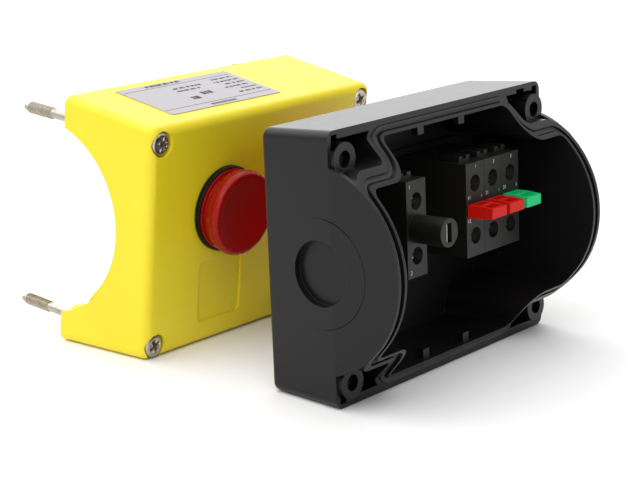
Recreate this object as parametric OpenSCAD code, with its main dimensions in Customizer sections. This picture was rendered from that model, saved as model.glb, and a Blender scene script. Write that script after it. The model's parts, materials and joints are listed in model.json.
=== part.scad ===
// Emergency stop control station with two command points, taken apart:
// the black base stands open in front and the yellow cover stands behind it.
// Both halves are drawn lying on the parting plane: u runs along the length,
// v across the height and w outwards, towards the operator, with w = 0 where
// the halves meet. stand_base() and stand_cover() then set them on the floor.

/* [Enclosure] */
// Length of the enclosure
length = 114; // [108:1:132]
// Height of the enclosure as it stands
height = 85; // [82:1:100]
// Depth of the base, from its back to the parting plane
base_depth = 27; // [25:0.5:32]
// Depth of the cover, from the parting plane to its face
cover_depth = 39; // [36:0.5:46]
// Thickness of the side walls
wall = 2; // [1.6:0.1:2.4]
// Thickness of the base's floor
floor_t = 2.5; // [2:0.1:3.5]
// Thickness of the cover's face
face_t = 2.5; // [2:0.1:3.5]
// Radius of the four long corners
corner_r = 3; // [2:0.5:5]
// Radius of the edges round the cover's face
face_edge_r = 3; // [1:0.1:3]
// Radius of the edges round the base's back
back_edge_r = 1.4; // [0.6:0.1:2.5]

/* [Draft] */
// Draft of the base's end walls, over its depth
base_draft_end = 1.8; // [1:0.1:2]
// Draft of the base's long walls, over its depth
base_draft_side = 1.1; // [0.6:0.1:1.6]
// Draft of the cover's end walls, over its depth
cover_draft_end = 1.1; // [0.6:0.1:2]
// Draft of the cover's long walls, over its depth
cover_draft_side = 3.5; // [2:0.1:3.8]

/* [End arches] */
// Radius of the arch at each end of the base
arch_r = 33; // [30:0.5:34]
// Distance of the arch's centre behind the parting plane
arch_back = 9; // [7:0.5:11]
// Clearance between the arch and the cover
arch_gap = 0.3; // [0.2:0.05:0.6]

/* [Sealing rim] */
// Width of the gasket groove
groove_w = 1.8; // [1.6:0.1:2.2]
// Depth of the gasket groove
groove_d = 3; // [2:0.1:4]
// Thickness of the inner rim
rim_w = 1.1; // [0.9:0.1:1.6]
// Height of the inner rim above the parting plane
rim_rise = 1.8; // [1:0.1:2.5]
// Length of the corner pockets, from the ends of the enclosure
pocket_u = 23.3; // [21:0.1:26]
// Width of the corner pockets, from the long walls
pocket_v = 16.8; // [16:0.1:18]
// Radius of the rim round a corner pocket
pocket_r = 7; // [5:0.5:7]
// Thickness of the gasket in its groove
gasket_t = 1.6; // [1:0.1:1.8]
// Clearance between the gasket and the sides of its groove
gasket_gap = 0.1; // [0.05:0.05:0.2]

/* [Cover screws] */
// Distance of the screws from the ends
screw_u = 6; // [5.6:0.1:7]
// Distance of the screws from the long walls
screw_v = 8.25; // [8:0.05:9]
// How far all four screws and bosses sit below the middle of their corners
screw_drop = 0.7; // [0:0.1:1]
// Radius of the screw bosses on the base
boss_r = 5.2; // [4.6:0.1:5.4]
// Height of the screw bosses above the parting plane
boss_rise = 1.6; // [0.5:0.1:2]
// Thickness left under the bore of a boss
bore_skin = 1.4; // [1:0.1:2]
// Radius of the threaded part of a screw
thread_r = 2; // [1.5:0.25:2]
// Radius of the thinned shank of a screw
shank_r = 1.6; // [1.2:0.05:1.7]
// Running clearance round the shank
shank_gap = 0.08; // [0.04:0.01:0.1]
// Radius of a screw's head
head_r = 3.9; // [3.4:0.1:4.2]
// Height of a screw's head
head_t = 2.4; // [1.8:0.1:3]
// Clearance round a screw's head in its recess
head_gap = 0.3; // [0.2:0.05:0.4]
// Depth of a screw's head below the cover's face
head_sink = 0.6; // [0.4:0.1:1.2]
// Shank that shows behind the parting plane
shank_show = 11; // [9:0.5:11]
// Length of the thread
thread_len = 13.8; // [12:0.2:14.4]
// Length of the neck that keeps a screw in the cover
neck_len = 3; // [2:0.5:5]
// Radius of the screw tubes inside the cover
tube_r = 4.9; // [4.8:0.1:5.2]
// Play between the ends of the screw tubes and the base's bosses
tube_play = 0.1; // [0.05:0.05:0.3]

/* [Fixing and cable entries] */
// Radius of the four fixing holes in the base's floor
fixing_r = 2.25; // [2:0.05:2.75]
// Distance of the fixing holes from the ends
fixing_u = 15; // [14.5:0.5:16]
// Distance of the fixing holes from the long walls
fixing_v = 7.5; // [7:0.5:8]
// Radius of a cable entry knockout
entry_r = 10.25; // [8:0.25:12.75]
// Distance of the cable entries behind the parting plane
entry_back = 4.9; // [3:0.1:6]
// How far the entry's middle lies below half height
entry_drop = 0.7; // [0:0.1:2]
// Depth of a cable entry recess
entry_d = 3.3; // [2:0.1:3.4]
// Radius of the scored ring round a cable entry
ring_r = 17.3; // [14:0.1:18]

/* [Command points] */
// Distance between the two command points
point_pitch = 42; // [40:0.5:48]
// Distance of the command points above the middle of the height
point_rise = 7.2; // [4:0.1:9]
// Radius of the holes in the cover
point_r = 11.15; // [11.1:0.05:11.3]
// Side of the square legend recess under each command point
legend_w = 21; // [18:0.5:22]
// Depth of the legend recess
legend_d = 0.8; // [0.3:0.1:1.2]
// Height of the legend recess's centre, from the lower wall
legend_v = 21.5; // [19:0.5:22]

/* [Contact blocks] */
// Number of contact blocks
block_count = 3; // [1:1:3]
// Width of a contact block
block_w = 10; // [9.6:0.1:10]
// Gap between neighbouring blocks
block_gap = 0.12; // [0.05:0.01:0.3]
// Height of a contact block
block_h = 30.7; // [29:0.1:32]
// Rise of a contact block's face above the parting plane
block_rise = 4.9; // [3:0.1:7]
// Distance of the terminals from the middle of a block
terminal_v = 8.6; // [8.4:0.1:9.2]
// Radius of a terminal hole
terminal_r = 2.75; // [2.6:0.05:3]
// Depth of the terminal screws below a block's face
terminal_sink = 2.2; // [1.5:0.1:5]
// Width of a contact plunger
plunger_w = 8.2; // [7:0.1:8.4]
// Height of a contact plunger where it leaves its block
plunger_h = 4.2; // [3.8:0.1:4.6]
// Height of a contact plunger at its tip
plunger_tip_h = 3.3; // [2.6:0.1:3.7]
// Length of a contact plunger outside its block
plunger_out = 9.3; // [8:0.1:11]
// Travel of a contact plunger
plunger_travel = 4; // [3:0.1:4]
// Running clearance round a contact plunger
plunger_gap = 0.08; // [0.05:0.01:0.1]

/* [Lamp holder] */
// Radius of the lamp tube
lamp_tube_r = 4.5; // [4:0.1:4.8]
// Rise of the lamp tube's end above the parting plane
lamp_rise = 17.1; // [12:0.1:20]
// Width of the slot in the lamp tube
lamp_slot_w = 2.6; // [2:0.1:3]
// Length of the slot in the lamp tube
lamp_slot_l = 6; // [5:0.1:6.4]

/* [Indicator light] */
// Radius of the black bezel
bezel_r = 14.6; // [14:0.1:15]
// Thickness of the bezel's flange
bezel_t = 1.7; // [1.2:0.1:2.5]
// Radius of the lens at its front rim
lens_r = 14.5; // [14:0.1:15]
// Radius of the lens's skirt
lens_skirt_r = 13.8; // [13:0.1:14]
// Height of the lens above the cover's face
lens_rise = 10; // [8:0.5:13]
// Depth of the dish in the lens's front
lens_dish = 2.4; // [1:0.1:3]
// Radius of the lens's rounded rim
lens_rim = 2.1; // [1:0.1:2.4]
// Depth of the groove round the lens's skirt
lens_groove = 1.2; // [0.5:0.1:1.4]
// Thickness of the lens
lens_t = 1.5; // [1.2:0.1:2]

/* [Emergency stop button] */
// Radius of the mushroom head
mushroom_r = 20; // [18:0.5:21]
// Height of the mushroom head above the cover's face
mushroom_rise = 28; // [26:0.5:32]
// Height of the mushroom's lower edge above the cover's face
mushroom_skirt = 6; // [5.6:0.1:8]
// Travel of the mushroom head
press_travel = 4; // [3.5:0.1:4]
// Radius of the collar under the mushroom
collar_r = 14.6; // [14:0.1:15]
// Height of the collar above the cover's face
collar_rise = 8; // [7:0.1:8.2]
// Radius of the stem
stem_r = 5; // [4:0.1:5.5]
// Running clearance round the stem
stem_gap = 0.05; // [0.03:0.01:0.1]
// Depth of the stem's pusher behind the cover's face
pusher_depth = 24.5; // [20:0.5:26]

/* [Devices behind the cover] */
// Length of a device's barrel behind the cover's face
barrel_l = 14; // [12:0.5:15]
// Outer radius of a retaining nut
nut_r = 14.8; // [13.5:0.1:15]
// Thickness of a retaining nut
nut_t = 5; // [4:0.5:6]
// Thickness of a device's seal
seal_t = 0.6; // [0.4:0.1:1]
// Radius of the lens's seat in the indicator body
seat_r = 9.4; // [8.6:0.1:9.8]
// Depth of the lens's tail in the indicator body
lens_tail = 3; // [2:0.5:5]
// Length of the stop button's body behind the cover's face
body_depth = 16; // [15:0.5:17]
// Radius of the chamber in the stop button's body
chamber_r = 8.2; // [7.8:0.1:8.6]
// Thickness of the retainer that closes the chamber
retainer_t = 2.5; // [2:0.1:3]
// Mean radius of the stop button's spring
stop_spring_r = 6.6; // [6.2:0.1:6.8]
// Wire radius of the stop button's spring
stop_wire_r = 0.6; // [0.4:0.1:0.7]
// Radius of the pusher
pusher_r = 8.5; // [7:0.5:9]
// Thickness of the pusher
pusher_t = 3; // [2.5:0.1:4]
// Drop from the top of the mushroom head to its widest edge
rim_drop = 13; // [12:0.5:14]

/* [Rating label] */
// Length of the label on the cover's upper wall
label_l = 53.5; // [40:0.5:60]
// Width of the label
label_w = 26.8; // [20:0.2:28]
// Where the label starts, ahead of the parting plane
label_from = 4.2; // [3:0.1:6]
// Thickness of the label
label_t = 0.25; // [0.2:0.05:0.5]
// Distance of the label's centre from the left end
label_u = 45.3; // [40:0.1:60]

/* [Layout] */
// Distance from the base's parting edge to the cover's, along the floor
cover_behind = 117.5; // [112:0.5:150]
// Offset of the cover to the left of the base
cover_left = 3.6; // [0:0.1:10]

/* [Hidden] */
$fn = 48;
HULL_FN = 32;
SLICE = 0.01;
LOOSE = 1;
FACE = cover_depth;
FLOOR = -base_depth;

base_lean = atan(base_draft_side / base_depth);
cover_lean = atan(cover_draft_side / cover_depth);

seal_out = wall + groove_w + rim_w;
mid_v = height / 2;
point_v = mid_v + point_rise;
lamp_u = (length - point_pitch) / 2;
stop_u = (length + point_pitch) / 2;
screw_tail = shank_show + thread_len;
thread_tip_r = thread_r - 0.6;
tip_l = 1.2;

block_d = base_depth - floor_t + block_rise;
block_pitch = block_w + block_gap;
bay_w = block_w - 2 * 1.6;
bay_v = 5;
back_t = 1.5;
bridge_z = 12;
channel_z = bridge_z - plunger_travel - 0.2;
bridge_t = 0.8;
bridge_l = 14;
strip_w = 5.2;
strip_t = 0.8;
chamber_l = 17;
strip_z = bridge_z + bridge_t;
terminal_head_z = block_d - strip_z - strip_t - 2 - terminal_sink;
pip_r = 1.4;
tube_foot = boss_rise + tube_play;
spigot_r = stem_r / 2;
stop_step_z = 5;

red = [0.85, 0.16, 0.11];
green = [0.15, 0.70, 0.40];
yellow = [0.98, 0.86, 0.25];
black = [0.13, 0.13, 0.14];
grey = [0.22, 0.22, 0.23];
steel = [0.72, 0.71, 0.68];
brass = [0.78, 0.66, 0.40];
rubber = [0.07, 0.07, 0.07];

// The row frame's origin is under the middle of the two halves' bounding box.
front_y = mid_v * sin(base_lean) + arch_back * cos(base_lean) - arch_r;
rear_y = cover_behind - (screw_v - screw_drop) * sin(cover_lean) + screw_tail * cos(cover_lean)
    + thread_tip_r * sin(cover_lean);
origin_u = (length - cover_left) / 2;
origin_y = (front_y + rear_y) / 2;

// Placing

module stand_base()
    translate([-origin_u, -origin_y, 0])
        rotate([90 - base_lean, 0, 0])
            children();

module stand_cover()
    translate([-origin_u - cover_left, cover_behind - origin_y, 0])
        rotate([90 + cover_lean, 0, 0])
            children();

module at_corners(u, v)
    for (a = [0, 1], b = [0, 1])
        translate([a ? length - u : u, b ? height - v : v, 0])
            children();

// Screws are numbered from the lower left corner, along the lower wall first.
function screw_place(i) = [i % 2 == 1 ? screw_u : length - screw_u,
    (i <= 2 ? screw_v : height - screw_v) - screw_drop, 0];

function block_u(i) = stop_u + (i - (block_count + 1) / 2) * block_pitch;

// Shapes shared by both halves

// A box that narrows from the parting plane to its face, with rounded edges.
module drafted_block(depth, draft_u, draft_v, edge_r, inset = 0) {
    turns = [0 : 15 : 90];
    slices = concat([[0, 0]], [for (a = turns) [depth - edge_r * (1 - sin(a)), edge_r * (1 - cos(a))]]);
    hull()
        for (s = slices) {
            share = s[0] / depth;
            r = max(corner_r - inset - s[1], 0.5);
            at_corners(inset + draft_u * share + s[1] + r, inset + draft_v * share + s[1] + r)
                translate([0, 0, max(s[0] - SLICE, 0)])
                    cylinder(r = r, h = SLICE, $fn = HULL_FN);
        }
}

module base_block(inset = 0, depth = base_depth)
    mirror([0, 0, 1])
        drafted_block(depth, base_draft_end * depth / base_depth,
            base_draft_side * depth / base_depth, back_edge_r, inset);

module cover_block(inset = 0, depth = cover_depth, edge_r = face_edge_r)
    drafted_block(depth, cover_draft_end * depth / cover_depth,
        cover_draft_side * depth / cover_depth, edge_r, inset);

// The sealed chamber's outline: a rectangle with a rounded notch at each corner.
module chamber_plan(grow = 0)
    offset(r = grow, $fn = HULL_FN)
        offset(r = 2.5, $fn = HULL_FN) offset(delta = -2.5)
            offset(r = -pocket_r, $fn = HULL_FN) offset(delta = pocket_r)
                difference() {
                    translate([seal_out, seal_out])
                        square([length - 2 * seal_out, height - 2 * seal_out]);
                    at_corners(pocket_u / 2 - LOOSE, pocket_v / 2 - LOOSE)
                        square([pocket_u + 2 * LOOSE, pocket_v + 2 * LOOSE], center = true);
                }

module band(outer, inner) {
    difference() {
        chamber_plan(outer);
        chamber_plan(inner);
    }
}

// Tangent point on a circle round the arch's centre, seen from the shoulder.
function tangent_turn(p, r) = atan2(p[1], p[0]) + acos(r / norm(p));

// All that lies under the arch, its shoulders and the flat land, in v and w.
module arch_profile(r, land, shoulder = true) {
    reach = mid_v - seal_out;
    p = [reach, land + arch_back];
    turn = tangent_turn(p, r);
    t = [r * cos(turn), r * sin(turn)];
    translate([mid_v, -arch_back]) {
        circle(r, $fn = 96);
        if (shoulder)
            polygon([p, t, [-t[0], t[1]], [-p[0], p[1]], [-p[0], 0], [p[0], 0]]);
    }
    translate([-LOOSE, FLOOR - LOOSE])
        square([height + 2 * LOOSE, base_depth + LOOSE + land]);
}

module along_length(from, len)
    translate([from, 0, 0])
        rotate([90, 0, 90])
            linear_extrude(len)
                children();

module under_arch(r, land, shoulder = true)
    along_length(-LOOSE, length + 2 * LOOSE)
        arch_profile(r, land, shoulder);

module ring(outer_r, inner_r, h)
    difference() {
        cylinder(r = outer_r, h = h);
        translate([0, 0, -LOOSE])
            cylinder(r = inner_r, h = h + 2 * LOOSE);
    }

// A coil of round wire that stands on its axis, with closed ends left out.
module coil(mean_r, wire_r, h, turns) {
    sides = 6;
    steps = 12 * turns;
    rise = h - 2 * wire_r;
    points = [for (i = [0 : steps], k = [0 : sides - 1])
        let (a = 360 * turns * i / steps, b = 360 * k / sides, r = mean_r + wire_r * cos(b))
        [r * cos(a), r * sin(a), wire_r + rise * i / steps + wire_r * sin(b)]];
    skin = [for (i = [0 : steps - 1], k = [0 : sides - 1])
        [i * sides + k, i * sides + (k + 1) % sides,
            (i + 1) * sides + (k + 1) % sides, (i + 1) * sides + k]];
    ends = [[for (k = [sides - 1 : -1 : 0]) k], [for (k = [0 : sides - 1]) steps * sides + k]];
    polyhedron(points, concat([for (f = skin) [f[3], f[2], f[1], f[0]]],
        [for (f = ends) [for (k = [len(f) - 1 : -1 : 0]) f[k]]]), convexity = 10);
}

// Base

module base_bosses(r, from, to)
    for (i = [1 : 4])
        translate(screw_place(i) + [0, 0, from])
            cylinder(r = r, h = to - from);

module base_walls()
    intersection() {
        union() {
            base_block();
            cover_block();
        }
        union() {
            translate([-LOOSE, -LOOSE, FLOOR - LOOSE])
                cube([length + 2 * LOOSE, height + 2 * LOOSE, base_depth + LOOSE]);
            intersection() {
                translate([0, 0, FLOOR])
                    linear_extrude(base_depth + arch_r)
                        band(seal_out, 0);
                under_arch(arch_r, 0);
            }
            intersection() {
                translate([0, 0, FLOOR])
                    linear_extrude(base_depth + arch_r)
                        band(rim_w, 0);
                under_arch(arch_r, rim_rise);
            }
            for (u = [0, length - wall])
                along_length(u, wall)
                    arch_profile(arch_r, 0, false);
            base_bosses(boss_r, FLOOR, boss_rise);
        }
    }

// The long walls are thicker along the pockets, but for notches at the rim.
module corner_pockets() {
    thick = wall + 0.7;
    thin = 1.4;
    notch_d = 5;
    difference() {
        intersection() {
            base_block(wall);
            translate([0, thick, FLOOR + floor_t])
                cube([length, height - 2 * thick, base_depth + LOOSE]);
        }
        translate([0, 0, FLOOR])
            linear_extrude(2 * base_depth)
                chamber_plan(seal_out);
        base_bosses(boss_r, FLOOR, LOOSE);
    }
    for (a = [0, 1], b = [0, 1])
        translate([a ? length - 4.6 : 1.8, b ? height - 6 : thin, -notch_d])
            cube([2.8, 6 - thin, notch_d + LOOSE]);
    translate([length - 14, height - 6, -notch_d])
        cube([4.6, 6 - thin, notch_d + LOOSE]);
}

module gasket_groove()
    difference() {
        translate([0, 0, FLOOR / 2])
            linear_extrude(base_depth + arch_r)
                band(rim_w + groove_w, rim_w);
        under_arch(arch_r - groove_d, rim_rise - groove_d);
    }

module cable_entries()
    for (side = [0, 1])
        translate([side * length, mid_v - entry_drop, -entry_back])
            rotate([0, side ? -90 : 90, 0]) {
                translate([0, 0, -LOOSE])
                    cylinder(r = entry_r, h = entry_d + LOOSE);
                translate([0, 0, -LOOSE])
                    ring(ring_r, ring_r - 0.4, LOOSE + 0.5);
            }

module rim_tabs() {
    tab_w = 3.2;
    tab_v = 3;
    tab_d = 3;
    for (u = [length / 2 - 11, length / 2 + 11], b = [0, 1])
        translate([u - tab_w / 2, b ? height - seal_out - tab_v : seal_out, rim_rise - 1.2 - tab_d])
            cube([tab_w, tab_v, tab_d]);
    for (u = [seal_out, length - seal_out - 1.5], t = [[0, arch_r - arch_back - 1.6],
            [-19, 11.7], [19, 11.7]])
        translate([u, mid_v + t[0] - tab_w / 2, t[1] - tab_d])
            cube([1.5, tab_w, tab_d]);
}

// Two rails on the floor that the blocks stand between, with a stop at each end.
module block_rails() {
    rail_t = 2;
    rail_h = 2.5;
    from = lamp_u - block_w / 2 - 3;
    to = stop_u + 1.5 * block_pitch + 3;
    for (side = [-1, 1])
        translate([from, point_v + side * (block_h / 2 + 0.2 + rail_t / 2) - rail_t / 2, FLOOR + floor_t])
            cube([to - from, rail_t, rail_h]);
}

module base_housing()
    color(black) stand_base() {
        difference() {
            base_walls();
            corner_pockets();
            difference() {
                translate([0, 0, FLOOR + floor_t])
                    linear_extrude(base_depth + arch_r)
                        chamber_plan();
                rim_tabs();
                block_rails();
            }
            gasket_groove();
            cable_entries();
            base_bosses(thread_r - 0.15, FLOOR + bore_skin, boss_rise + LOOSE);
            base_bosses(thread_r + 0.6, boss_rise - 3, boss_rise + LOOSE);
            at_corners(fixing_u, fixing_v)
                translate([0, 0, FLOOR - LOOSE])
                    cylinder(r = fixing_r, h = floor_t + 2 * LOOSE);
        }
    }

module base_gasket()
    color(rubber) stand_base()
        difference() {
            intersection() {
                translate([0, 0, FLOOR / 2])
                    linear_extrude(base_depth + arch_r)
                        band(rim_w + groove_w - gasket_gap, rim_w + gasket_gap);
                under_arch(arch_r - groove_d + gasket_t, rim_rise - groove_d + gasket_t);
            }
            under_arch(arch_r - groove_d + SLICE, rim_rise - groove_d + SLICE);
        }

// A block's own frame: z = 0 on the base's floor, z = block_d at its face.
module at_block(u)
    stand_base()
        translate([u, point_v, FLOOR + floor_t])
            children();

module block_body()
    translate([-block_w / 2, -block_h / 2, 0])
        cube([block_w, block_h, block_d]);

// Terminal holes from the face, the bays behind them and the wire entries.
module terminal_bays()
    for (side = [-1, 1]) {
        translate([0, side * terminal_v, strip_z])
            cylinder(r = terminal_r, h = block_d);
        translate([-bay_w / 2, side > 0 ? bay_v : -block_h / 2 + 1.5, strip_z])
            cube([bay_w, block_h / 2 - 1.5 - bay_v, 7]);
        translate([-1.9, side > 0 ? bay_v : -block_h / 2 - LOOSE, strip_z + strip_t])
            cube([3.8, block_h / 2 + LOOSE - bay_v, 4]);
    }

module block_latch()
    translate([0, block_h / 2 - LOOSE, block_d - 11])
        difference() {
            translate([-3, 0, 0])
                cube([6, LOOSE + 1.8, 7]);
            translate([-1, LOOSE + 0.8, -LOOSE])
                cube([2, 3, 7 + 2 * LOOSE]);
        }

module contact_block(i)
    color(grey) at_block(block_u(i))
        difference() {
            union() {
                block_body();
                block_latch();
            }
            terminal_bays();
            // channel of the plunger
            translate([-plunger_w / 2 - plunger_gap, -plunger_h / 2 - plunger_gap, channel_z])
                cube([plunger_w + 2 * plunger_gap, plunger_h + 2 * plunger_gap, block_d]);
            // chamber of the moving bridge and its spring, closed by the back plate
            translate([-bay_w / 2, -chamber_l / 2, -LOOSE])
                cube([bay_w, chamber_l, LOOSE + strip_z + strip_t + 0.4]);
        }

// Back plates of the blocks, each with a pip that centres the spring.
module block_backs()
    color(grey)
        for (i = [1 : block_count])
            at_block(block_u(i)) {
                translate([-bay_w / 2, -chamber_l / 2, 0])
                    cube([bay_w, chamber_l, back_t]);
                translate([0, 0, back_t])
                    cylinder(r = pip_r, h = 1.5);
            }

module plunger_side()
    polygon([[-plunger_h / 2, strip_z], [plunger_h / 2, strip_z],
        [plunger_h / 2, block_d + plunger_travel], [plunger_tip_h / 2, block_d + plunger_out],
        [-plunger_tip_h / 2, block_d + plunger_out], [-plunger_h / 2, block_d + plunger_travel]]);

module contact_plunger(i)
    color(i == block_count ? green : red) at_block(block_u(i))
        difference() {
            translate([-plunger_w / 2, 0, 0])
                rotate([90, 0, 90])
                    linear_extrude(plunger_w)
                        plunger_side();
            // two pockets in each broad face
            for (side = [-1, 1], z = [0.6, plunger_out / 2 + 0.4])
                translate([-plunger_w / 2 + 1.4, side > 0 ? 0.5 : -plunger_h - 0.5, block_d + z])
                    cube([plunger_w - 2.8, plunger_h, plunger_out / 2 - 1.6]);
        }

module contact_bridge(i)
    color(brass) at_block(block_u(i))
        translate([-strip_w / 2, -bridge_l / 2, bridge_z])
            cube([strip_w, bridge_l, bridge_t]);

module contact_spring(i)
    color(steel) at_block(block_u(i))
        translate([0, 0, back_t])
            coil(1.9, 0.3, bridge_z - back_t - 0.05, 6);

// The strips lie in the bays. A closing contact's strips reach down to where
// its bridge comes at the end of the travel.
module fixed_contacts()
    color(brass)
        for (side = [0, 1]) {
            for (i = [1 : block_count])
                at_block(block_u(i))
                    mirror([0, side, 0])
                        translate([-strip_w / 2, 0, 0]) {
                            closing = i == block_count;
                            low_z = bridge_z - plunger_travel - strip_t;
                            start = closing ? chamber_l / 2 - strip_t : 5.6;
                            translate([0, start, strip_z])
                                cube([strip_w, 13.6 - start, strip_t]);
                            if (closing) {
                                translate([0, start, low_z])
                                    cube([strip_w, strip_t, strip_z + strip_t - low_z]);
                                translate([0, 5.6, low_z])
                                    cube([strip_w, start - 5.6 + strip_t, strip_t]);
                            }
                        }
            at_block(lamp_u)
                mirror([0, side, 0])
                    translate([-strip_w / 2, bay_v + 0.2, strip_z])
                        cube([strip_w, 13.4 - bay_v, strip_t]);
        }

module at_terminals()
    for (side = [-1, 1], u = concat([lamp_u], [for (i = [1 : block_count]) block_u(i)]))
        at_block(u)
            translate([0, side * terminal_v, strip_z + strip_t])
                children();

module terminal_clamps()
    color(steel) at_terminals()
        translate([0, 0, 4.2])
            difference() {
                translate([-2.6, -2.6, 0])
                    cube([5.2, 5.2, 0.8]);
                translate([0, 0, -LOOSE])
                    cylinder(r = 1.45, h = 1 + 2 * LOOSE);
            }

module terminal_screws()
    color(steel) at_terminals()
        difference() {
            union() {
                cylinder(r = 1.4, h = terminal_head_z);
                translate([0, 0, terminal_head_z])
                    cylinder(r = terminal_r - 0.25, h = 2);
            }
            for (turn = [0, 90])
                rotate([0, 0, turn + 30])
                    translate([-terminal_r, -0.4, terminal_head_z + 1])
                        cube([2 * terminal_r, 0.8, 2]);
        }

module lamp_holder()
    color(grey) at_block(lamp_u)
        difference() {
            union() {
                block_body();
                block_latch();
                cylinder(r = lamp_tube_r, h = block_d + lamp_rise - block_rise);
            }
            terminal_bays();
            translate([-lamp_slot_w / 2, -lamp_slot_l / 2, block_d - 4])
                cube([lamp_slot_w, lamp_slot_l, lamp_rise]);
        }

module lamp_board()
    color([0.93, 0.90, 0.62]) at_block(lamp_u)
        translate([-lamp_slot_w / 2, -lamp_slot_l / 2 + 0.1, block_d - 4])
            cube([0.9, lamp_slot_l - 0.2, lamp_rise - block_rise + 3.5]);

// Cover

module screw_tubes(r, from, to)
    for (i = [1 : 4])
        translate(screw_place(i) + [0, 0, from])
            cylinder(r = r, h = to - from);

module corner_areas(grow)
    at_corners(pocket_u / 2 - LOOSE, pocket_v / 2 - LOOSE)
        square([pocket_u + grow, pocket_v + grow], center = true);

// The tongue that enters the groove, with a ledge behind it that joins it to the
// outer wall, and the walls that part the screws' corners from the sealed chamber.
module inner_walls() {
    ledge = 4;
    tongue_out = rim_w + groove_w - arch_gap;
    tongue_in = rim_w + arch_gap;
    linear_extrude(cover_depth)
        intersection() {
            band(tongue_out, tongue_in);
            corner_areas(6);
        }
    intersection() {
        linear_extrude(cover_depth)
            band(tongue_out, tongue_in);
        under_arch(arch_r + ledge, ledge);
    }
    difference() {
        intersection() {
            linear_extrude(cover_depth)
                difference() {
                    band(seal_out, tongue_in);
                    corner_areas(0);
                }
            under_arch(arch_r + ledge, ledge);
        }
        under_arch(arch_r + arch_gap, rim_rise + arch_gap);
    }
}

module cover_shell()
    difference() {
        cover_block();
        difference() {
            translate([0, 0, -SLICE])
                cover_block(wall, cover_depth - face_t + SLICE, 1);
            screw_tubes(tube_r, tube_foot, cover_depth);
            inner_walls();
        }
        // the arched openings that the base's ends fill
        for (u = [-LOOSE, length - wall - 0.3])
            along_length(u, wall + 0.3 + LOOSE)
                arch_profile(arch_r + arch_gap, 0, false);
        // the sealing walls of the base, with the tongue left standing in the groove
        difference() {
            intersection() {
                translate([0, 0, -LOOSE])
                    linear_extrude(cover_depth)
                        band(seal_out, -LOOSE);
                under_arch(arch_r + arch_gap, rim_rise + arch_gap);
                translate([wall, wall, -LOOSE])
                    cube([length - 2 * wall, height - 2 * wall, cover_depth]);
            }
            difference() {
                linear_extrude(cover_depth)
                    band(rim_w + groove_w - arch_gap, rim_w + arch_gap);
                under_arch(arch_r - groove_d + gasket_t, rim_rise - groove_d + gasket_t);
            }
        }
    }

module cover_housing()
    color(yellow) stand_cover()
        difference() {
            cover_shell();
            screw_tubes(shank_r + shank_gap, -LOOSE, FACE);
            screw_tubes(thread_r + 0.5, tube_foot + neck_len, FACE);
            screw_tubes(head_r + head_gap, FACE - head_sink - head_t, FACE + LOOSE);
            for (u = [lamp_u, stop_u]) {
                translate([u, point_v, FACE - 2 * face_t])
                    cylinder(r = point_r, h = 3 * face_t);
                translate([u, legend_v, FACE - legend_d])
                    linear_extrude(legend_d + LOOSE)
                        rounded_square(legend_w, 2);
            }
        }

module rounded_square(side, r) {
    square([side - 2 * r, side], center = true);
    square([side, side - 2 * r], center = true);
    for (a = [-1, 1], b = [-1, 1])
        translate([a * (side / 2 - r), b * (side / 2 - r)])
            circle(r);
}

module rating_label()
    color([0.80, 0.80, 0.82]) stand_cover()
        translate([label_u, height + SLICE / 5, 0])
            rotate([cover_lean, 0, 0])
                translate([-label_l / 2, 0, label_from])
                    cube([label_l, label_t, label_w]);

module cover_screw(i)
    color(steel) stand_cover()
        translate(screw_place(i))
            difference() {
                union() {
                    translate([0, 0, -screw_tail])
                        cylinder(r = thread_tip_r, h = tip_l);
                    translate([0, 0, tip_l - screw_tail])
                        cylinder(r1 = thread_tip_r, r2 = thread_r, h = 0.6);
                    translate([0, 0, tip_l + 0.6 - screw_tail])
                        cylinder(r = thread_r, h = thread_len - tip_l - 0.6);
                    translate([0, 0, -shank_show])
                        cylinder(r = shank_r, h = shank_show + FACE - head_sink - head_t);
                    translate([0, 0, FACE - head_sink - head_t])
                        cylinder(r = head_r, h = head_t);
                }
                for (turn = [0, 90])
                    translate([0, 0, FACE - head_sink])
                        rotate([0, 0, turn + 25])
                            cube([4.8, 1, 2.4], center = true);
            }

// A command point's own frame: z = 0 on the cover's face.
module at_point(u)
    stand_cover()
        translate([u, point_v, FACE])
            children();

module device_seal()
    ring(bezel_r - 1.2, point_r + 0.1, seal_t);

module device_nut(inner_r)
    translate([0, 0, -face_t - nut_t])
        difference() {
            ring(nut_r, inner_r, nut_t);
            for (k = [0 : 11])
                rotate([0, 0, 30 * k])
                    translate([nut_r, 0, -LOOSE])
                        cylinder(r = 1.2, h = nut_t + 2 * LOOSE);
        }

barrel_r = point_r - 0.15;

module indicator_body()
    color(black) at_point(lamp_u)
        rotate_extrude()
            polygon([[seat_r, -barrel_l], [barrel_r, -barrel_l], [barrel_r, seal_t], [bezel_r, seal_t],
                [bezel_r, seal_t + bezel_t - 0.5], [bezel_r - 0.5, seal_t + bezel_t],
                [seat_r, seal_t + bezel_t]]);

module indicator_seal()
    color(rubber) at_point(lamp_u) device_seal();

module indicator_nut()
    color(grey) at_point(lamp_u) device_nut(barrel_r + 0.05);

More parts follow.
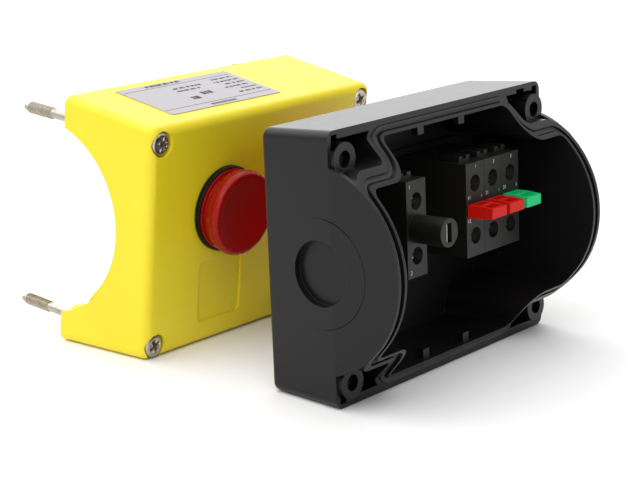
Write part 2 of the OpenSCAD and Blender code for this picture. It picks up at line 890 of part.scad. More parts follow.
// The lens is a thin cup: a stepped skirt, a rounded rim and a dished front.
module indicator_lens() {
    z0 = seal_t + bezel_t;
    top = lens_rise;
    dish_r = lens_r - lens_rim - 0.4;
    groove_r = lens_skirt_r - lens_groove;
    cup_r = groove_r - lens_t / 2;
    tail_r = seat_r - 0.1;
    color([0.75, 0.05, 0.05]) at_point(lamp_u)
        rotate_extrude()
            difference() {
                union() {
                    polygon([[0, -lens_tail], [tail_r, -lens_tail], [tail_r, z0],
                        [lens_skirt_r, z0], [lens_skirt_r, z0 + 1], [groove_r, z0 + 1.1],
                        [groove_r, z0 + 1.8], [lens_skirt_r, z0 + 2.1],
                        [lens_r - 0.2, top - lens_rim - 0.7], [lens_r, top - lens_rim],
                        [0, top - lens_rim]]);
                    translate([lens_r - lens_rim, top - lens_rim])
                        circle(lens_rim);
                    translate([0, top - lens_rim])
                        square([lens_r - lens_rim, lens_rim]);
                }
                // dish, a shallow circular arc
                translate([0, top - lens_dish + dish_sphere(dish_r)])
                    circle(dish_sphere(dish_r), $fn = 128);
                // hollow inside, open to the lamp
                polygon([[-LOOSE, -lens_tail - LOOSE], [tail_r - lens_t, -lens_tail - LOOSE],
                    [tail_r - lens_t, z0 + lens_t],
                    [cup_r, z0 + lens_t],
                    [cup_r, top - lens_dish - lens_t], [-LOOSE, top - lens_dish - lens_t]]);
                translate([-2 * lens_r, -lens_r])
                    square([2 * lens_r, 4 * lens_r]);
            }
}

function dish_sphere(a) = (a * a + lens_dish * lens_dish) / (2 * lens_dish);

module stop_body()
    color(black) at_point(stop_u)
        rotate_extrude()
            polygon([[chamber_r, -body_depth], [barrel_r, -body_depth], [barrel_r, seal_t],
                [collar_r, seal_t], [collar_r, collar_rise - 0.8], [collar_r - 0.8, collar_rise],
                [stem_r + stem_gap, collar_rise], [stem_r + stem_gap, stop_step_z],
                [chamber_r, stop_step_z]]);

module stop_retainer()
    color(grey) at_point(stop_u)
        translate([0, 0, -body_depth])
            ring(chamber_r, stem_r + stem_gap, retainer_t);

module stop_seal()
    color(rubber) at_point(stop_u) device_seal();

module stop_nut()
    color(grey) at_point(stop_u) device_nut(barrel_r + 0.05);

module stop_stem() {
    foot = pusher_t - pusher_depth;
    flange_z = stop_step_z - 2;
    color(grey) at_point(stop_u)
        rotate_extrude()
            polygon([[0, foot - pusher_t / 2], [spigot_r, foot - pusher_t / 2], [spigot_r, foot], [stem_r, foot],
                [stem_r, flange_z], [chamber_r - 0.2, flange_z],
                [chamber_r - 0.2, stop_step_z - 0.05], [stem_r, stop_step_z - 0.05],
                [stem_r, mushroom_rise - 8.05], [0, mushroom_rise - 8.05]]);
}

module stop_pusher()
    color(black) at_point(stop_u)
        translate([0, 0, -pusher_depth])
            difference() {
                cylinder(r = pusher_r, h = pusher_t);
                translate([0, 0, pusher_t / 2])
                    cylinder(r = spigot_r, h = pusher_t / 2 + LOOSE);
            }

module stop_spring()
    color(steel) at_point(stop_u)
        translate([0, 0, retainer_t - body_depth])
            coil(stop_spring_r, stop_wire_r, stop_step_z - 2 + body_depth - retainer_t - 0.1, 6);

module mushroom_head() {
    rim_z = mushroom_rise - rim_drop;
    foot_r = mushroom_r - 3.6;
    ceiling = collar_rise + press_travel + 0.5;
    color(red) at_point(stop_u)
        difference() {
            rotate_extrude()
                difference() {
                    union() {
                        polygon([[0, mushroom_skirt], [foot_r, mushroom_skirt], [mushroom_r - 0.8, rim_z],
                            [mushroom_r, rim_z + 1.2], [mushroom_r, rim_z + 3], [0, rim_z + 3]]);
                        intersection() {
                            translate([0, rim_z + 3])
                                square([mushroom_r, 10]);
                            translate([0, mushroom_rise - dome_r()])
                                circle(dome_r(), $fn = 128);
                            translate([mushroom_r - 8, rim_z + 3])
                                union() {
                                    circle(8);
                                    translate([-mushroom_r, -1])
                                        square([mushroom_r, 20]);
                                }
                        }
                    }
                    translate([-LOOSE, mushroom_skirt - LOOSE])
                        square([collar_r + 0.6 + LOOSE, ceiling - mushroom_skirt + LOOSE]);
                    translate([-LOOSE, 0])
                        square([stem_r + stem_gap + LOOSE, mushroom_rise - 8]);
                }
            // grip flutes round the skirt
            for (k = [0 : 11])
                rotate([0, 0, 30 * k])
                    translate([mushroom_r + 1.6, 0, 0])
                        cylinder(r = 2.4, h = rim_z - 1);
        }
}

function dome_r() = (mushroom_r * mushroom_r + 10 * 10) / (2 * 10);

base_housing();
base_gasket();
contact_block(1);  // contact_block_1
contact_block(2);  // contact_block_2
contact_block(3);  // contact_block_3
block_backs();
contact_plunger(1);  // contact_plunger_1
contact_plunger(2);  // contact_plunger_2
contact_plunger(3);  // contact_plunger_3
contact_bridge(1);  // contact_bridge_1
contact_bridge(2);  // contact_bridge_2
contact_bridge(3);  // contact_bridge_3
contact_spring(1);  // contact_spring_1
contact_spring(2);  // contact_spring_2
contact_spring(3);  // contact_spring_3
fixed_contacts();
terminal_clamps();
terminal_screws();
lamp_holder();
lamp_board();
cover_housing();
rating_label();
indicator_body();
indicator_seal();
indicator_lens();
indicator_nut();
stop_body();
stop_seal();
stop_nut();
stop_retainer();
stop_stem();
stop_pusher();
stop_spring();
mushroom_head();
cover_screw(1);  // cover_screw_1
cover_screw(2);  // cover_screw_2
cover_screw(3);  // cover_screw_3
cover_screw(4);  // cover_screw_4
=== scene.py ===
"""Looks of the emergency stop control station: materials, screws, marks, light and camera."""

import json
import math

import bmesh
import bpy
from mathutils import Matrix, Vector


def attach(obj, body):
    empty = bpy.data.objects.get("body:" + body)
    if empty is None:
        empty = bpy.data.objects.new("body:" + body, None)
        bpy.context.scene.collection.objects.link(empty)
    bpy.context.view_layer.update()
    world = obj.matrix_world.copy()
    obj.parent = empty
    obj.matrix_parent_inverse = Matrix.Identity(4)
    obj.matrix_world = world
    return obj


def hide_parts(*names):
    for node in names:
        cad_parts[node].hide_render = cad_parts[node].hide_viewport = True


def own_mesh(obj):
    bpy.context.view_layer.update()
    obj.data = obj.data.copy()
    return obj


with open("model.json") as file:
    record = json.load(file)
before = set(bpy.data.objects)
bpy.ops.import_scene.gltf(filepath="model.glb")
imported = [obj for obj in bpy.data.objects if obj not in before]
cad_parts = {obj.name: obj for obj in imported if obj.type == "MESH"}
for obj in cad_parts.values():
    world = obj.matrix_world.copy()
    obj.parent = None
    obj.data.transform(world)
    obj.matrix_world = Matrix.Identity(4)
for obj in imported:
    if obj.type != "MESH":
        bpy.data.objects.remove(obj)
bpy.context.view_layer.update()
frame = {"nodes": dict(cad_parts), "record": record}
MM = 0.001

# The part's own sizes that the added pieces share, in millimetres. Each half has
# its parting plane: u runs to the right on it, v up, and w out towards the viewer.
LENGTH = 114           # both halves, along u
HEIGHT = 85            # both halves, along v
BASE_DEPTH = 27
COVER_DEPTH = 39
BASE_DRAFT = 1.1       # how far a wall leans in over the base's depth
COVER_DRAFT = 3.5      # the same over the cover's depth
COVER_BEHIND = 117.5   # from the base's parting plane back to the cover's
COVER_LEFT = 3.6       # from the base's left end out to the cover's
ARCH_R = 33            # the arches that swell out of the base's ends
ARCH_BACK = 9          # from the parting plane back to the middle of the end arches
SCREW_U = 6            # from an end to a cover screw
SCREW_V = 8.25         # from a long side to a cover screw
SCREW_DROP = 0.7       # how far all four screws sit below that
LAMP_U = 36            # the indicator light
STOP_U = 78            # the stop button
POINT_V = 49.7         # both of them
BLOCK_PITCH = 10.12
BLOCK_RISE = 4.9       # from the parting plane out to the blocks' faces
TERMINAL_V = 8.6       # from a block's middle to its clamp screws
TERMINAL_FOOT = 15.8   # from a block's face back to the end of its clamp screws

# The cover screws.
HEAD_R = 3.9
HEAD_T = 2.4
HEAD_SINK = 0.6        # from the cover's face back to the head
SHANK_R = 1.6
SHANK_SHOW = 11        # how far the shank reaches behind the cover's parting plane
THREAD_R = 2
THREAD_LEN = 13.8
THREAD_PITCH = 0.7
THREAD_DEPTH = 0.42
TIP_R = 1.4
TIP_L = 1.2
TAIL = SHANK_SHOW + THREAD_LEN

# Each half stands on its drafted lower wall, so its parting plane leans.
BASE_LEAN = math.atan(BASE_DRAFT / BASE_DEPTH)
COVER_LEAN = math.atan(COVER_DRAFT / COVER_DEPTH)

# The middle of the whole object on the floor, from the base's lower left corner.
FRONT_Y = HEIGHT / 2 * math.sin(BASE_LEAN) + ARCH_BACK * math.cos(BASE_LEAN) - ARCH_R
REAR_Y = (COVER_BEHIND - (SCREW_V - SCREW_DROP) * math.sin(COVER_LEAN)
          + TAIL * math.cos(COVER_LEAN) + TIP_R * math.sin(COVER_LEAN))
ORIGIN_U = (LENGTH - COVER_LEFT) / 2
ORIGIN_Y = (FRONT_Y + REAR_Y) / 2

# From a half's own u, v and w in millimetres to its place in the scene in metres.
SCALE = Matrix.Scale(MM, 4)
BASE = (SCALE @ Matrix.Translation((-ORIGIN_U, -ORIGIN_Y, 0))
        @ Matrix.Rotation(math.pi / 2 - BASE_LEAN, 4, "X"))
COVER = (SCALE @ Matrix.Translation((-ORIGIN_U - COVER_LEFT, COVER_BEHIND - ORIGIN_Y, 0))
         @ Matrix.Rotation(math.pi / 2 + COVER_LEAN, 4, "X"))

# Noises: cells per metre, levels of detail, and how strong the finer levels are.
FLOW = (38, 4, 0.6)
GLOSS = (260, 5, 0.65)
TARNISH = (420, 5, 0.7)
POLISH = (700, 4, 0.7)
STREAKS = (2700, 3, 0.6)

# The colour sockets of a Mix node.
MIX_FACTOR, MIX_FIRST, MIX_SECOND, MIX_RESULT = 0, 6, 7, 2


def new_material(name):
    """A new material with its nodes, links and main shader."""
    material = bpy.data.materials.new(name)
    material.use_nodes = True
    tree = material.node_tree
    return material, tree.nodes, tree.links, tree.nodes["Principled BSDF"]


def noise(nodes, links, scale, detail, rough, stretch=None):
    """Noise in a piece's own space, which may be scaled by its own amount along each axis."""
    place = nodes.new("ShaderNodeTexCoord").outputs["Object"]
    if stretch:
        stretched = nodes.new("ShaderNodeMapping")
        stretched.inputs["Scale"].default_value = stretch
        links.new(place, stretched.inputs["Vector"])
        place = stretched.outputs["Vector"]
    grain = nodes.new("ShaderNodeTexNoise")
    grain.inputs["Scale"].default_value = scale
    grain.inputs["Detail"].default_value = detail
    grain.inputs["Roughness"].default_value = rough
    links.new(place, grain.inputs["Vector"])
    return grain.outputs["Fac"]


def ramp(nodes, links, level, low, high, ends=(0.3, 0.7)):
    """Goes from the colour low to the colour high as level goes from one end to the other."""
    band = nodes.new("ShaderNodeValToRGB")
    for stop, place, colour in zip(band.color_ramp.elements, ends, (low, high)):
        stop.position = place
        stop.color = colour
    links.new(level, band.inputs["Fac"])
    return band.outputs["Color"]


def relief(nodes, links, height, strength, depth):
    """A bump node for a fine relief, with its depth in millimetres."""
    bump = nodes.new("ShaderNodeBump")
    bump.inputs["Strength"].default_value = strength
    bump.inputs["Distance"].default_value = depth * MM
    links.new(height, bump.inputs["Height"])
    return bump


def grey(level):
    """A grey colour, or a plain number where a socket takes one."""
    return level, level, level, 1


def shades(colour, share):
    """A colour made darker and lighter by a share of itself."""
    darker = tuple(part * (1 - share) for part in colour)
    lighter = tuple(min(part * (1 + share), 1) for part in colour)
    return darker + (1,), lighter + (1,)


def moulded(name, colour, rough, grain=1800, bump=0.05, mottle=0.04, edge=0.35, shine=0.5,
            uneven=0.06):
    """Moulded plastic: a fine eroded grain, uneven gloss, faint flow marks and soft edges.

    grain is in cells per metre, and edge is the radius of the edges in millimetres.
    """
    material, nodes, links, shader = new_material(name)
    darker, lighter = shades(colour, mottle)
    flow = noise(nodes, links, *FLOW)
    links.new(ramp(nodes, links, flow, darker, lighter), shader.inputs["Base Color"])
    gloss = noise(nodes, links, *GLOSS)
    links.new(ramp(nodes, links, gloss, grey(rough - uneven), grey(rough + uneven)),
              shader.inputs["Roughness"])
    eroded = relief(nodes, links, noise(nodes, links, grain, 2, 0.55), bump, 0.12)
    soft = nodes.new("ShaderNodeBevel")
    soft.samples = 6
    soft.inputs["Radius"].default_value = edge * MM
    links.new(soft.outputs["Normal"], eroded.inputs["Normal"])
    links.new(eroded.outputs["Normal"], shader.inputs["Normal"])
    shader.inputs["Specular IOR Level"].default_value = shine
    return material


def with_painted_shade(nodes, links, finish):
    """A finish with painted shade: a brown darkening in thread roots and recesses."""
    hollow = nodes.new("ShaderNodeAmbientOcclusion")
    hollow.samples = 8
    hollow.inputs["Distance"].default_value = 0.4 * MM
    hollow_shade = ramp(nodes, links, hollow.outputs["AO"], (0.2, 0.18, 0.16, 1), grey(1), (0.3, 0.8))
    shaded_finish = nodes.new("ShaderNodeMix")
    shaded_finish.data_type = "RGBA"
    shaded_finish.blend_type = "MULTIPLY"
    shaded_finish.inputs[MIX_FACTOR].default_value = 1
    links.new(finish, shaded_finish.inputs[MIX_FIRST])
    links.new(hollow_shade, shaded_finish.inputs[MIX_SECOND])
    return shaded_finish.outputs[MIX_RESULT]


def plated(name, colour, rough, shade_hollows=True):
    """Plated or stamped metal with fine drawn streaks, a little tarnish and, unless turned off,
    painted shade in its recesses.
    """
    material, nodes, links, shader = new_material(name)
    dull, clean = shades(colour, 0.16)
    tarnish = noise(nodes, links, *TARNISH)
    finish = ramp(nodes, links, tarnish, dull, clean, (0.3, 0.75))
    # Painted shade: thread roots and recesses are darkened.
    if shade_hollows:
        finish = with_painted_shade(nodes, links, finish)
    links.new(finish, shader.inputs["Base Color"])
    polish = noise(nodes, links, *POLISH)
    links.new(ramp(nodes, links, polish, grey(rough - 0.08), grey(rough + 0.12)),
              shader.inputs["Roughness"])
    drawn = relief(nodes, links, noise(nodes, links, *STREAKS), 0.12, 0.05)
    links.new(drawn.outputs["Normal"], shader.inputs["Normal"])
    shader.inputs["Metallic"].default_value = 1
    return material


def lens_plastic(name, colour, rough, shine):
    """Tinted, slightly milky polycarbonate, in which light spreads."""
    material = moulded(name, colour, rough, grain=900, bump=0.002, mottle=0.03, edge=0.1,
                       shine=shine)
    shader = material.node_tree.nodes["Principled BSDF"]
    shader.inputs["Specular Tint"].default_value = (1.0, 0.8, 0.8, 1)
    shader.inputs["Subsurface Weight"].default_value = 0.1
    shader.inputs["Subsurface Radius"].default_value = (1.0, 0.12, 0.08)
    shader.inputs["Subsurface Scale"].default_value = 4 * MM
    return material


def silver_film(name):
    """Silver film: fine brushed streaks along its length."""
    material, nodes, links, shader = new_material(name)
    along, across = 60, 3000
    brushed = noise(nodes, links, 1, 3, 0.5, stretch=(along, across, across))
    links.new(ramp(nodes, links, brushed, (0.34, 0.325, 0.345, 1), (0.41, 0.39, 0.415, 1)),
              shader.inputs["Base Color"])
    links.new(ramp(nodes, links, brushed, grey(0.42), grey(0.52)), shader.inputs["Roughness"])
    shader.inputs["Metallic"].default_value = 0.25
    return material


# Each plastic's colour, its roughness and what sets its surface apart.
PLASTICS = {
    "yellow_plastic": ((0.90, 0.73, 0.018), 0.42, dict(mottle=0.02, edge=0.4, shine=0.4)),
    "black_plastic": ((0.0050, 0.0042, 0.0048), 0.34,
                      dict(bump=0.06, mottle=0.1, edge=0.3, shine=0.27, uneven=0.012)),
    "grey_plastic": ((0.0062, 0.0058, 0.0052), 0.40,
                     dict(bump=0.08, mottle=0.1, edge=0.15, shine=0.24)),
    "bezel_plastic": ((0.006, 0.005, 0.004), 0.34, dict(mottle=0.1, edge=0.2, shine=0.1)),
    "red_plastic": ((0.55, 0.007, 0.0035), 0.42, dict(mottle=0.05, edge=0.2, shine=0.15)),
    "green_plastic": ((0.010, 0.52, 0.175), 0.42, dict(mottle=0.05, edge=0.2, shine=0.2)),
    "rubber": ((0.020, 0.020, 0.021), 0.72, dict(grain=900, bump=0.15, mottle=0.15, edge=0.2)),
    "circuit_board": ((0.85, 0.84, 0.70), 0.5, dict(mottle=0.08, edge=0.1)),
    "ink": ((0.03, 0.03, 0.035), 0.6, dict(mottle=0.1, edge=0.02, shine=0.2)),
    "mark": ((0.62, 0.61, 0.59), 0.6, dict(mottle=0.15, edge=0.02)),
}
MATERIALS = {name: moulded(name, colour, rough, **surface)
             for name, (colour, rough, surface) in PLASTICS.items()}
MATERIALS["red_lens"] = lens_plastic("red_lens", (0.32, 0.003, 0.0015), 0.27, 0.26)
MATERIALS["lens_face"] = lens_plastic("lens_face", (0.34, 0.003, 0.0015), 0.55, 0.14)
# The zinc steel and the brass carry painted shade in their recesses.
MATERIALS["zinc_steel"] = plated("zinc_steel", (0.46, 0.42, 0.37), 0.30)
# A lit copy of the plated steel: painted lighter and without the painted shade, so the clamp
# screws deep in their wells show glints.
MATERIALS["steel_lit_for_glints"] = plated("steel_lit_for_glints", (0.93, 0.92, 0.90), 0.22, shade_hollows=False)
MATERIALS["brass"] = plated("brass", (0.72, 0.55, 0.27), 0.32)
MATERIALS["label"] = silver_film("label")

slots = {row["node"]: row["material_slot"] for row in frame["record"]["subparts"]}
for name, node in frame["nodes"].items():
    node.data.materials.clear()
    node.data.materials.append(MATERIALS[slots[name]])


def add(name, data):
    """A new object in the scene."""
    obj = bpy.data.objects.new(name, data)
    bpy.context.collection.objects.link(obj)
    return obj


def piece(name, form, body, material, matrix, smooth=35):
    """Turns a form into an object that rides on a body, smooth across edges below an angle."""
    bmesh.ops.recalc_face_normals(form, faces=form.faces)
    mesh = bpy.data.meshes.new(name)
    form.to_mesh(mesh)
    form.free()
    mesh.transform(matrix)
    mesh.materials.append(MATERIALS[material])
    obj = add(name, mesh)
    for face in mesh.polygons:
        face.use_smooth = True
    mesh.set_sharp_from_angle(angle=math.radians(smooth))
    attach(obj, body)
    return obj


def on_circle(r, share):
    """The point of a circle round the origin that lies a share of a turn along."""
    angle = 2 * math.pi * share
    return r * math.cos(angle), r * math.sin(angle)


def slope(distance, width):
    """Goes from 0 to 1 as distance goes from 0 to width."""
    return max(0.0, min(1.0, distance / width))


def skin(form, rings):
    """Joins each ring of points to the next one; a ring may be a single point."""
    for low, high in zip(rings, rings[1:]):
        steps = max(len(low), len(high))
        for k in range(steps):
            after = (k + 1) % steps
            corners = [low[k % len(low)], low[after % len(low)],
                       high[after % len(high)], high[k % len(high)]]
            form.faces.new([c for i, c in enumerate(corners) if c not in corners[:i]])


def round_ring(form, r, z, steps):
    """A round ring of points, or a single point where r is 0."""
    points = [on_circle(r, k / steps) for k in range(steps if r else 1)]
    return [form.verts.new((x, y, z)) for x, y in points]


def lathe(form, profile, steps):
    """Revolves (r, z) points round the z axis."""
    skin(form, [round_ring(form, r, z, steps) for r, z in profile])


def cut_thread(form, bottom, top):
    """The screw's tip and its single helical ridge, which fades out at both ends."""
    steps, rings_per_turn = 32, 10
    steepness, flat_crest = 2.6, 1.25
    fade_in, fade_out = 1.2, 0.8
    chamfer = 0.2
    tip = [(0, -TAIL), (TIP_R - chamfer, -TAIL), (TIP_R, chamfer - TAIL), (TIP_R, bottom)]
    rings = [round_ring(form, r, z, steps) for r, z in tip]
    count = int((top - bottom) / THREAD_PITCH * rings_per_turn)
    for k in range(1, count + 1):
        z = bottom + (top - bottom) * k / count
        fade = max(min(1, (z - bottom) / fade_in, (top - z) / fade_out), 0)
        ring = []
        for t in range(steps):
            from_crest = abs((z / THREAD_PITCH - t / steps) % 1 - 0.5)
            crest = min(max(0.0, 1 - from_crest * steepness) * flat_crest, 1)
            x, y = on_circle(THREAD_R - THREAD_DEPTH + THREAD_DEPTH * crest * fade, t / steps)
            ring.append(form.verts.new((x, y, z)))
        rings.append(ring)
    skin(form, rings)
    form.faces.new(rings[-1])


def recess_depth(x, y):
    """The depth of a screw head's cross recess at a place, with its four short ticks."""
    turned = math.radians(25)
    cross_deep, arm_half, arm_side, arm_length, arm_end = 1.5, 0.62, 0.16, 2.35, 0.5
    tick_deep, tick_half, tick_side, tick_from, tick_to = 0.3, 0.28, 0.12, 1.1, 2.5
    along = abs(x * math.cos(turned) + y * math.sin(turned))
    across = abs(-x * math.sin(turned) + y * math.cos(turned))
    near, far = min(along, across), max(along, across)
    cross = min(slope(arm_half - near, arm_side), slope(arm_length - far, arm_end))
    tick = 0
    if tick_from < math.hypot(x, y) < tick_to:
        tick = slope(tick_half - (far - near) / math.sqrt(2), tick_side)
    return max(cross_deep * cross, tick_deep * tick)


def screw_head(form, low, top):
    """The shank below the head, the rounded head, and the recess as a dip in its top."""
    neck, crown_r, bevel, sides = -SHANK_SHOW, HEAD_R - 1.0, 0.15, 40
    shank = [(0, neck - 0.05), (SHANK_R - 0.05, neck - 0.05), (SHANK_R, neck + bevel)]
    underside = [(SHANK_R, low), (HEAD_R - bevel, low), (HEAD_R, low + bevel)]
    lathe(form, shank + underside, sides)
    shoulder = [(HEAD_R, top - 0.7), (HEAD_R - 0.18, top - 0.35), (HEAD_R - 0.55, top - 0.1)]
    lathe(form, [(HEAD_R, low + bevel)] + shoulder + [(crown_r, top)], sides)
    rounds = 16
    rings = []
    for k in range(rounds):
        r = crown_r * (1 - k / rounds)
        points = [on_circle(r, s / (2 * sides)) for s in range(2 * sides)]
        rings.append([form.verts.new((x, y, top - recess_depth(x, y))) for x, y in points])
    rings.append([form.verts.new((0, 0, top - recess_depth(0, 0)))])
    skin(form, rings)


def threaded_screw(which):
    """A captive cover screw: 1 and 2 are the low pair, and 1 and 3 the left pair."""
    seat_gap = 0.02
    form = bmesh.new()
    cut_thread(form, TIP_L - TAIL, -SHANK_SHOW)
    head_top = COVER_DEPTH - HEAD_SINK
    screw_head(form, head_top - HEAD_T + seat_gap, head_top)
    u = SCREW_U if which in (1, 3) else LENGTH - SCREW_U
    v = SCREW_V if which in (1, 2) else HEIGHT - SCREW_V
    screw = piece("threaded_screw_%d" % which, form, "screw_%d" % which, "zinc_steel",
                  COVER @ Matrix.Translation((u, v - SCREW_DROP, 0)))
    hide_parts("cover_screw_%d" % which)


for which in (1, 2, 3, 4):
    threaded_screw(which)


def lens():
    """The lens: a thin flange, a groove, a plain band and a broad rounded rim round a dish."""
    # Points are (radius, height above the cover's face).
    seat, top, wall = 2.3, 10, 1.5
    dish_r, dish_deep = 12.3, 2.4
    rim_r, rim_fall, crest_r, crest_start = 14.5, 2.4, 12.9, 12.6
    groove_r, flange_r = 12.6, 13.8
    tail_r, tail_bore, tail_end = 9.3, 7.8, -3
    hollow_r, hollow_top = 11.8, 6.1

    sphere_r = (dish_r ** 2 + dish_deep ** 2) / (2 * dish_deep)
    dish = []
    for k in range(17):
        r = dish_r * k / 16
        dish.append((r, top - dish_deep + sphere_r - math.sqrt(sphere_r ** 2 - r ** 2)))
    rim = [(crest_start, top)]
    for degrees in range(0, 91, 5):
        angle = math.radians(degrees)
        rim.append((crest_r + (rim_r - crest_r) * math.sin(angle),
                    top - rim_fall * (1 - math.cos(angle))))
    band = [(14.45, 7.1), (14.3, 6.95), (14.25, 6.8), (13.85, 4.5), (13.7, 4.3)]
    groove = [(groove_r + 0.15, 4.15), (groove_r, 4.05), (groove_r, 3.3), (groove_r + 0.1, 3.15)]
    flange = [(flange_r - 0.15, 3.0), (flange_r, 2.9), (flange_r, seat + 0.1),
              (flange_r - 0.1, seat)]
    tail = [(tail_r, seat), (tail_r, tail_end), (tail_bore, tail_end), (tail_bore, seat + wall)]
    hollow = [(hollow_r, seat + wall), (hollow_r, hollow_top), (0, hollow_top)]
    form = bmesh.new()
    lathe(form, dish + rim + band + groove + flange + tail + hollow, 128)
    shell = piece("lens_shell", form, "cover", "red_lens",
                  COVER @ Matrix.Translation((LAMP_U, POINT_V, COVER_DEPTH)), smooth=40)
    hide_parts("indicator_lens")

    # The dish has a frosted face.
    shell.data.materials.append(MATERIALS["lens_face"])
    middle = COVER @ Vector((LAMP_U, POINT_V, COVER_DEPTH))
    out = (COVER.to_3x3() @ Vector((0, 0, 1))).normalized()
    for face in shell.data.polygons:
        place = face.center - middle
        height = place.dot(out)
        aside = (place - height * out).length
        if aside < dish_r * MM and height > (top - dish_deep) * MM - 1e-6:
            face.material_index = 1


lens()


def clamp_screw(form, u, v, turned):
    """A domed clamp screw with a cross slot, sunk below the face of its block."""
    shank_r, head_r, slot_half, slot_side = 1.4, 2.5, 0.5, 0.14
    # Depths go back from the block's face.
    crown, brim, slot_floor, underside = 2.2, 3.0, 3.3, 4.2
    rounds, steps = 15, 64
    below = [(shank_r, TERMINAL_FOOT), (shank_r, underside),
             (head_r - 0.1, underside), (head_r, underside - 0.1)]
    rows = [[point] * steps for point in below]
    for k in range(rounds):
        r = head_r * (1 - k / rounds)
        dome = brim - (brim - crown) * math.sqrt(1 - (r / head_r) ** 2)
        row = []
        for s in range(steps):
            along, across = on_circle(r, s / steps - turned / 360)
            slot = slope(slot_half - min(abs(along), abs(across)), slot_side)
            row.append((r, dome + (slot_floor - dome) * slot))
        rows.append(row)
    rings = []
    for row in rows:
        ring = []
        for s, (r, deep) in enumerate(row):
            x, y = on_circle(r, s / steps)
            ring.append(form.verts.new((u + x, v + y, BLOCK_RISE - deep)))
        rings.append(ring)
    rings.append([form.verts.new((u, v, BLOCK_RISE - slot_floor))])
    skin(form, rings)
    form.faces.new(rings[0])


def clamp_screws():
    """Two clamp screws in each block, with their slots turned a little differently."""
    usual, apart = 75, 9
    form = bmesh.new()
    for k, u in enumerate((LAMP_U, STOP_U - BLOCK_PITCH, STOP_U, STOP_U + BLOCK_PITCH)):
        for side in (-1, 1):
            turned = usual + apart * ((k + side) % 3 - 1)
            clamp_screw(form, u, POINT_V + side * TERMINAL_V, turned)
    screws = piece("clamp_screws", form, "base", "zinc_steel", BASE)
    # The clamp screws take the lit copy of the steel, painted lighter for glints.
    screws.data.materials[0] = MATERIALS["steel_lit_for_glints"]
    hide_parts("terminal_screws")


clamp_screws()


def coil(node, body):
    """A spring's own shape, copied onto a body in place of its node."""
    source = frame["nodes"][node]
    spring = add("coil_" + node, source.data.copy())
    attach(spring, body)
    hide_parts(node)
    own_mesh(spring)


for which in (1, 2, 3):
    coil("contact_spring_%d" % which, "base")
coil("stop_spring", "cover")


def number(name, text, size, matrix):
    """A plain number on the base, as a thin mesh."""
    curve = bpy.data.curves.new(name, "FONT")
    curve.body = text
    curve.size = size
    curve.align_x = "CENTER"
    curve.align_y = "CENTER"
    curve.resolution_u = 3
    curve.extrude = 0.01
    drawn = add(name, curve)
    mesh = bpy.data.meshes.new_from_object(drawn)
    bpy.data.objects.remove(drawn)
    form = bmesh.new()
    form.from_mesh(mesh)
    piece(name, form, "base", "mark", matrix)


def block_numbers():
    """Numbers beside the blocks' terminals, at x and y from the middle of a block's face."""
    rows = []
    for k in (1, 2, 3):
        u = STOP_U + (k - 2) * BLOCK_PITCH
        low, high = (3, 4) if k == 3 else (1, 2)
        rows += [
            (u, 0.6, 13.9, 1.5, "%d" % k),
            (u, -3.4, 4.2, 1.7, "%d%d" % (k, low)),
            (u, 3.6, 3.9, 1.5, "%d" % low),
            (u, -3.4, -3.4, 1.7, "%d%d" % (k, high)),
            (u, 3.6, -3.7, 1.5, "%d" % high),
        ]
    rows += [(LAMP_U, -3.2, 13.4, 1.8, "1"), (LAMP_U, -3.2, -13.6, 1.8, "2")]
    clear = 0.002
    for n, (u, x, y, size, text) in enumerate(rows):
        number("block_number_%d" % (n + 1), text, size,
               BASE @ Matrix.Translation((u + x, POINT_V + y, BLOCK_RISE + clear)))


block_numbers()


def strip(form, x0, x1, y0, y1, z):
    """A flat bar of ink with a little thickness."""
    thick = 0.02
    middle = Matrix.Translation(((x0 + x1) / 2, (y0 + y1) / 2, z))
    bmesh.ops.create_cube(form, size=1,
                          matrix=middle @ Matrix.Diagonal((x1 - x0, y1 - y0, thick, 1)))


def label_print():
    """Plain rules and bars where the label is printed, with nothing to read."""
    label_length, label_t, label_mid, label_edge = 53.5, 0.25, 45.3, 4.2
    rule_from, rule_to = 0.7, 52.8
    narrow, wider, gap, word_gap = 0.5, 0.28, 0.35, 0.8
    z = label_t + 0.006
    form = bmesh.new()
    strip(form, rule_from, rule_to, 3.3, 3.55, z)
    strip(form, rule_from, rule_to, 22.9, 23.2, z)
    # Each row of bars: its two ends, its middle across the label and its height.
    rows = [
        (12.5, 29, 1.6, 1.5),
        (20.5, 32.5, 25.0, 1.5),
        (20, 33.5, 7.4, 1.1),
        (19.5, 30.5, 10.0, 1.1),
        (40.5, 51, 5.8, 1.0),
        (39, 51.5, 8.6, 1.0),
        (42, 51.5, 11.4, 1.0),
        (39, 51, 14.2, 1.0),
        (44, 51.5, 17.0, 1.0),
        (40, 51.5, 19.8, 1.0),
        (26, 31, 15.0, 2.6),
        (19, 23, 17.5, 2.6),
    ]
    for n, (x, end, y, tall) in enumerate(rows):
        beat = n
        while x < end:
            beat = (beat * 5 + 3) % 7
            wide = narrow + wider * beat
            strip(form, x, min(x + wide, end), y - tall / 2, y + tall / 2, z)
            x += wide + (gap if beat % 3 else word_gap)
    # On the cover's upper wall, x runs from the label's left end and y from its rear edge.
    wall = (COVER @ Matrix.Translation((label_mid - label_length / 2, HEIGHT, 0))
            @ Matrix.Rotation(COVER_LEAN, 4, "X"))
    piece("label_print", form, "cover", "ink",
          wall @ Matrix.Translation((0, 0, label_edge)) @ Matrix.Rotation(-math.pi / 2, 4, "X")
          @ Matrix.Diagonal((1, -1, 1, 1)))


label_print()


def white_floor():
    """A wide white floor just below the part."""
    white, _, _, shader = new_material("floor_white")
    shader.inputs["Base Color"].default_value = grey(0.95)
    shader.inputs["Roughness"].default_value = 0.9
    half_width = 3
    form = bmesh.new()
    bmesh.ops.create_grid(form, x_segments=1, y_segments=1, size=half_width)
    mesh = bpy.data.meshes.new("floor")
    form.to_mesh(mesh)
    form.free()
    mesh.materials.append(white)
    floor = add("floor", mesh)
    floor.location = (0, 0, -0.2 * MM)


white_floor()


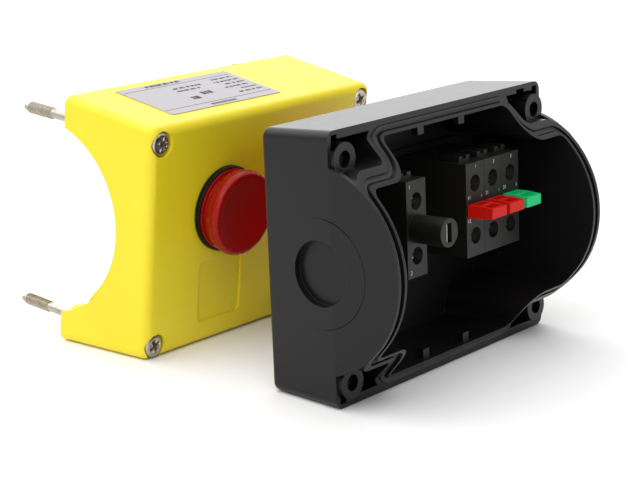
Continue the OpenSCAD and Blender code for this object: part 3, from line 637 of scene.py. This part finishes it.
def studio():
    """A white surround, which lights the part from behind and is dim in front of it."""
    world = bpy.data.worlds.new("studio")
    bpy.context.scene.world = world
    world.use_nodes = True
    nodes, links = world.node_tree.nodes, world.node_tree.links
    nodes.clear()
    out = nodes.new("ShaderNodeOutputWorld")
    light = nodes.new("ShaderNodeBackground")
    light.inputs["Color"].default_value = (1, 1, 1, 1)
    plain = nodes.new("ShaderNodeBackground")
    plain.inputs["Color"].default_value = (1, 1, 1, 1)
    plain.inputs["Strength"].default_value = 1.0

    # The camera, glossy surfaces and glass see plain white.
    path = nodes.new("ShaderNodeLightPath")
    seen = path.outputs["Is Camera Ray"]
    for ray in ("Is Glossy Ray", "Is Transmission Ray"):
        either = nodes.new("ShaderNodeMath")
        either.operation = "MAXIMUM"
        links.new(seen, either.inputs[0])
        links.new(path.outputs[ray], either.inputs[1])
        seen = either.outputs["Value"]
    mix = nodes.new("ShaderNodeMixShader")
    links.new(seen, mix.inputs["Fac"])
    links.new(light.outputs["Background"], mix.inputs[1])
    links.new(plain.outputs["Background"], mix.inputs[2])
    links.new(mix.outputs["Shader"], out.inputs["Surface"])

    # The light grows from front to back.
    coord = nodes.new("ShaderNodeTexCoord")
    split = nodes.new("ShaderNodeSeparateXYZ")
    links.new(coord.outputs["Generated"], split.inputs["Vector"])
    fall = nodes.new("ShaderNodeMapRange")
    for end, value in (("From Min", -0.25), ("From Max", 0.6), ("To Min", 0.03), ("To Max", 0.6)):
        fall.inputs[end].default_value = value
    links.new(split.outputs["Y"], fall.inputs["Value"])
    links.new(fall.outputs["Result"], light.inputs["Strength"])


studio()


def lamp(name, kind, place, target, power):
    """A lamp at a place that shines towards a target."""
    obj = add(name, bpy.data.lights.new(name, kind))
    obj.data.energy = power
    obj.location = place
    obj.rotation_euler = (Vector(target) - Vector(place)).to_track_quat("-Z", "Y").to_euler()
    return obj


def panel(name, place, target, size, power):
    """A rectangular lamp; size is its width and height in metres."""
    obj = lamp(name, "AREA", place, target, power)
    obj.data.shape = "RECTANGLE"
    obj.data.size, obj.data.size_y = size
    return obj


# The lamps' places and sizes are in metres.
overhead = lamp("overhead", "SUN", (-0.1, 0.2, 1), (0, 0, 0), 2.9)
overhead.data.angle = math.radians(100)
panel("left", (-0.85, -0.68, 0.72), (0, 0, 0.03), (1.0, 1.0), 5.2)
panel("front", (0.35, -1.15, 0.16), (0, 0, 0.04), (0.6, 0.3), 2.05)
sheen = panel("sheen", (1.0, 0.82, 0.42), (0, 0, 0.05), (1.1, 0.6), 3.4)
sheen.visible_diffuse = False


def photo_camera():
    """The photograph's camera, found by fitting it to the corners of both halves."""
    # Millimetres from the base's lower left corner, then degrees from looking straight down.
    right, back, up = -393.24, -315.89, 184.42
    yaw, tilt, roll = -50.681, 75.417, -0.433
    camera = add("camera", bpy.data.cameras.new("camera"))
    camera.data.lens, camera.data.sensor_width = 100, 36
    camera.data.clip_start, camera.data.clip_end = 0.01, 20
    camera.matrix_world = (Matrix.Translation(Vector((right - ORIGIN_U, back - ORIGIN_Y, up)) * MM)
                           @ Matrix.Rotation(math.radians(yaw), 4, "Z")
                           @ Matrix.Rotation(math.radians(tilt), 4, "X")
                           @ Matrix.Rotation(math.radians(roll), 4, "Z"))
    return camera


bpy.context.scene.camera = photo_camera()
bpy.context.scene.view_settings.view_transform = "Standard"
